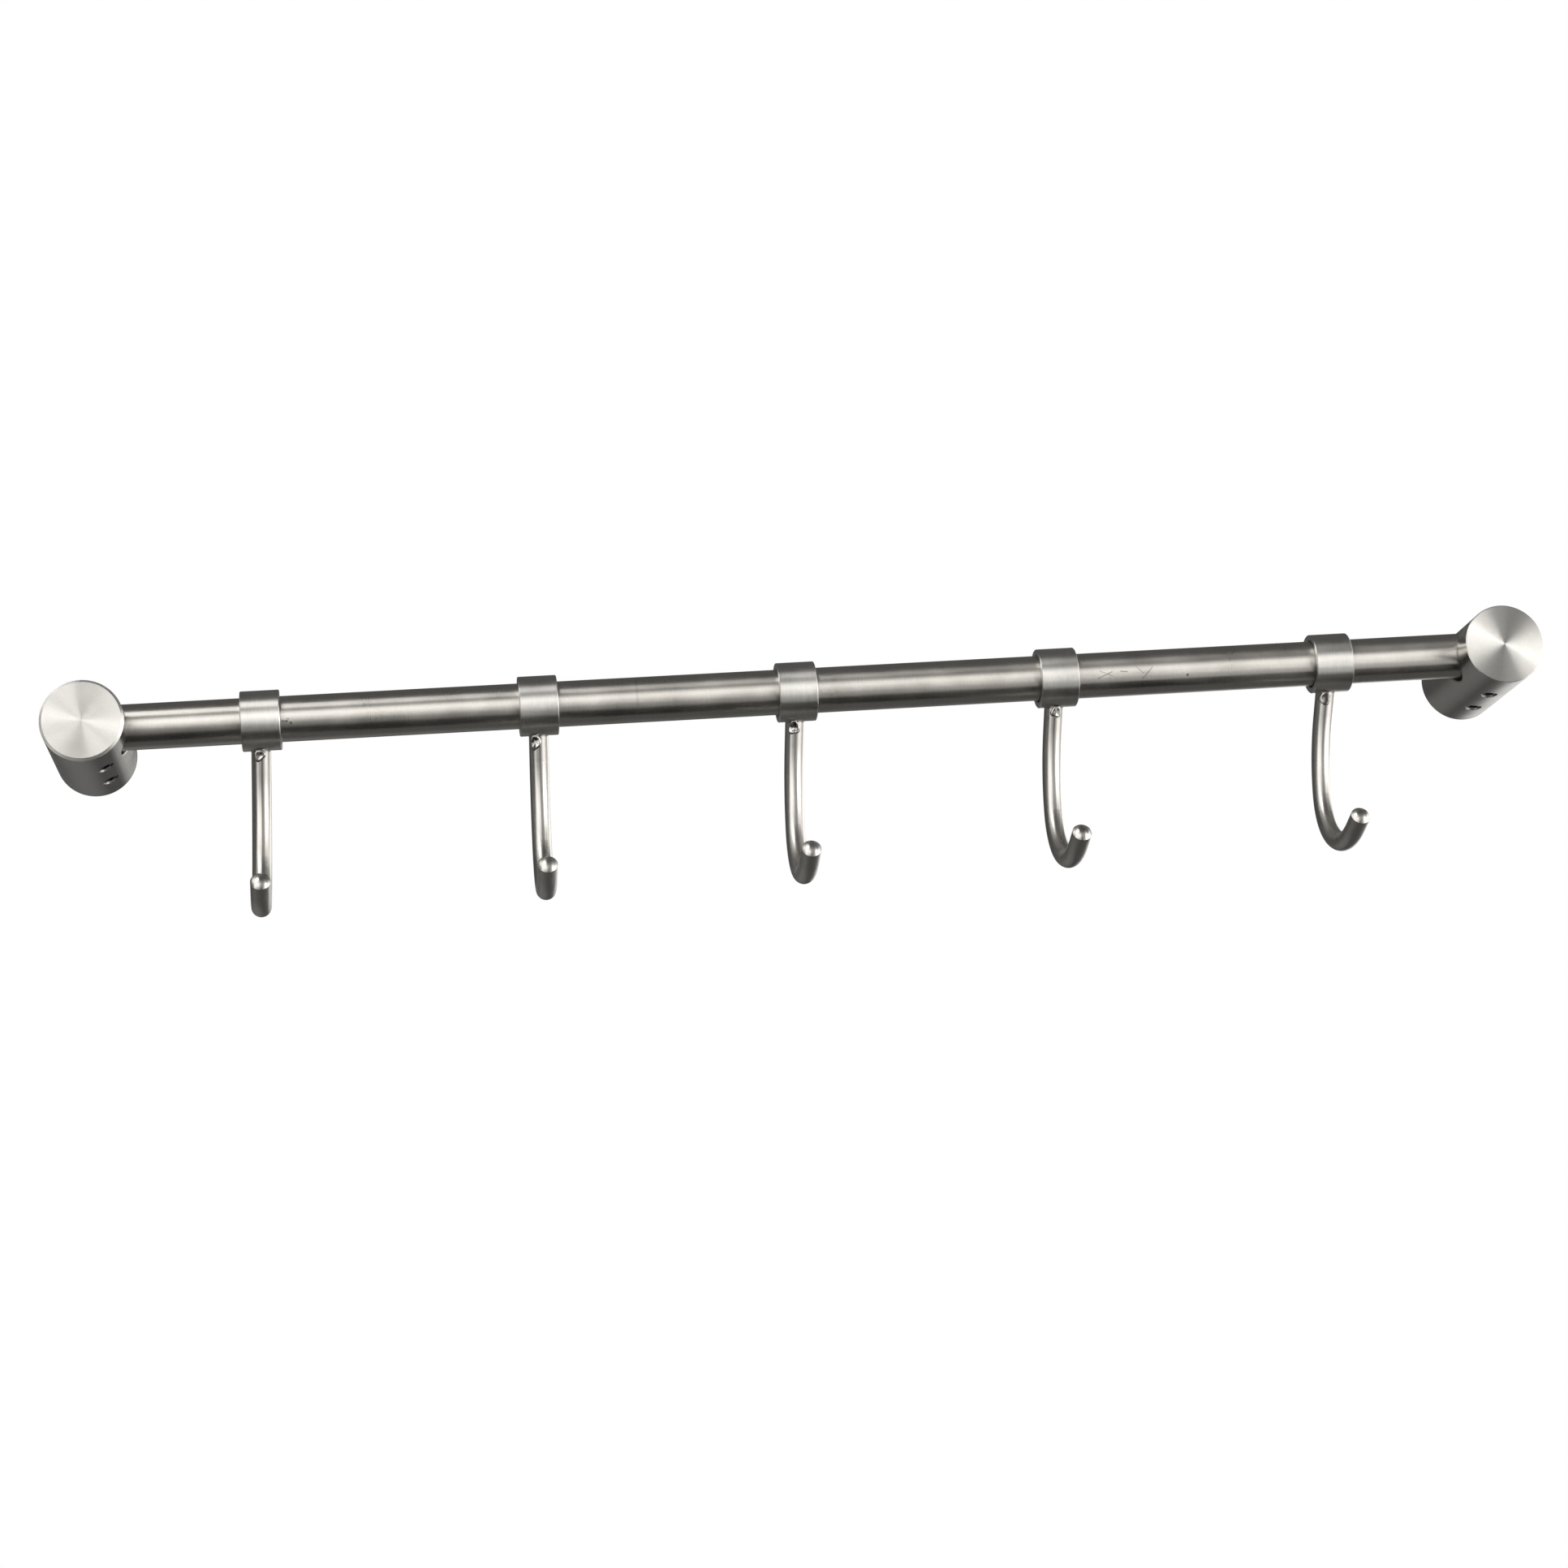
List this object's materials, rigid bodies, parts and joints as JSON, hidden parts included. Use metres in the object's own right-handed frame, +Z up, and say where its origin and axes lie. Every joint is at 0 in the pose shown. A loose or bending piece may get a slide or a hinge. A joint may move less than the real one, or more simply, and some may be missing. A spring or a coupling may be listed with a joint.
{
  "type": "hook rail",
  "caption": "Wall-mounted stainless steel tube rail between two round posts, with J-shaped wire hooks on loose rings that slide along it and swing round it.",
  "frame": {"origin": "on the wall's face, midway between the two wall screws", "axes": "+X along the rail to the right as seen from the room, +Y into the wall, +Z up"},
  "size_m": [0.5284, 0.0688, 0.0847],
  "materials": {
    "tube_steel": "stainless steel tube, brushed along its length",
    "post_steel": "turned stainless steel bar, face with fine radial brushing",
    "boss_steel": "turned stainless steel",
    "screw_steel": "plain stainless steel",
    "ring_steel": "stainless steel, brushed round its circumference",
    "wire_steel": "stainless steel wire, polished"
  },
  "bodies": {
    "frame": {"rail_tube": "tube_steel", "left_post": "post_steel", "left_wall_boss": "boss_steel", "left_rail_screw": "screw_steel", "left_wall_screw": "screw_steel", "right_post": "post_steel", "right_wall_boss": "boss_steel", "right_rail_screw": "screw_steel", "right_wall_screw": "screw_steel"},
    "ring_1": {"hook_ring_1": "ring_steel"},
    "wire_1": {"hook_wire_1": "wire_steel"},
    "ring_2": {"hook_ring_2": "ring_steel"},
    "wire_2": {"hook_wire_2": "wire_steel"},
    "ring_3": {"hook_ring_3": "ring_steel"},
    "wire_3": {"hook_wire_3": "wire_steel"},
    "ring_4": {"hook_ring_4": "ring_steel"},
    "wire_4": {"hook_wire_4": "wire_steel"},
    "ring_5": {"hook_ring_5": "ring_steel"},
    "wire_5": {"hook_wire_5": "wire_steel"}
  },
  "joints": [
    {"name": "hook_1_slide", "type": "slide", "parent": "frame", "child": "ring_1", "axis": [1, 0, 0], "range_m": [-0.038, 0.04075]},
    {"name": "hook_1_swing", "type": "hinge", "parent": "ring_1", "child": "wire_1", "pos_m": [-0.1905, -0.0365, 0.001], "axis": [1, 0, 0], "range_deg": [-183, 27]},
    {"name": "hook_2_slide", "type": "slide", "parent": "frame", "child": "ring_2", "axis": [1, 0, 0], "range_m": [-0.04075, 0.03825]},
    {"name": "hook_2_swing", "type": "hinge", "parent": "ring_2", "child": "wire_2", "pos_m": [-0.0945, -0.0365, 0.001], "axis": [1, 0, 0], "range_deg": [-183, 27]},
    {"name": "hook_3_slide", "type": "slide", "parent": "frame", "child": "ring_3", "axis": [1, 0, 0], "range_m": [-0.03825, 0.03925]},
    {"name": "hook_3_swing", "type": "hinge", "parent": "ring_3", "child": "wire_3", "pos_m": [-0.0035, -0.0365, 0.001], "axis": [1, 0, 0], "range_deg": [-183, 27]},
    {"name": "hook_4_slide", "type": "slide", "parent": "frame", "child": "ring_4", "axis": [1, 0, 0], "range_m": [-0.03925, 0.0415]},
    {"name": "hook_4_swing", "type": "hinge", "parent": "ring_4", "child": "wire_4", "pos_m": [0.09, -0.0365, 0.001], "axis": [1, 0, 0], "range_deg": [-183, 27]},
    {"name": "hook_5_slide", "type": "slide", "parent": "frame", "child": "ring_5", "axis": [1, 0, 0], "range_m": [-0.0415, 0.0385]},
    {"name": "hook_5_swing", "type": "hinge", "parent": "ring_5", "child": "wire_5", "pos_m": [0.19, -0.0365, 0.001], "axis": [1, 0, 0], "range_deg": [-183, 27]}
  ]
}
